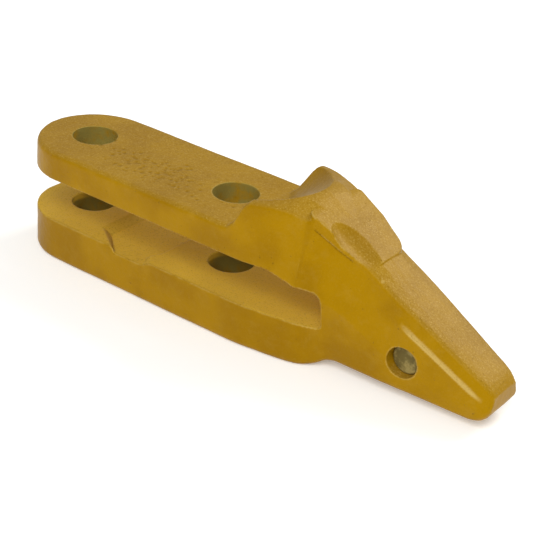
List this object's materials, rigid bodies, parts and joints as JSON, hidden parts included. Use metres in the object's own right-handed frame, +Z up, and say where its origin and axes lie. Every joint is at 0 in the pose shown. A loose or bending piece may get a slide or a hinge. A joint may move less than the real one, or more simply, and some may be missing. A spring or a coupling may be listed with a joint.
{
  "type": "bucket tooth adapter",
  "caption": "Bolt-on bucket tooth adapter with two flat straps, a lip slot, a wrench scoop, a wedge nose and a side lock pin held by a ring retainer.",
  "frame": {"origin": "bottom centre of the bounding box, on the flat underside of the lower strap", "axes": "+X towards the nose tip, +Y across the straps, +Z up from the lower strap to the top strap"},
  "size_m": [0.2494, 0.056, 0.0722],
  "materials": {
    "painted_casting": "semi-gloss ochre yellow paint over sand-cast steel",
    "pin_steel": "heat-treated steel with a dull olive-grey scale",
    "spring_steel": "blued spring steel",
    "retainer_rubber": "moulded black rubber"
  },
  "bodies": {
    "adapter": {"adapter_casting": "painted_casting", "retainer_ring": "spring_steel", "retainer_sleeve": "retainer_rubber"},
    "pin": {"lock_pin": "pin_steel"}
  },
  "joints": [
    {"name": "pin_slide", "type": "slide", "parent": "adapter", "child": "pin", "axis": [0, -1, 0], "range_m": [0, 0.03]}
  ]
}
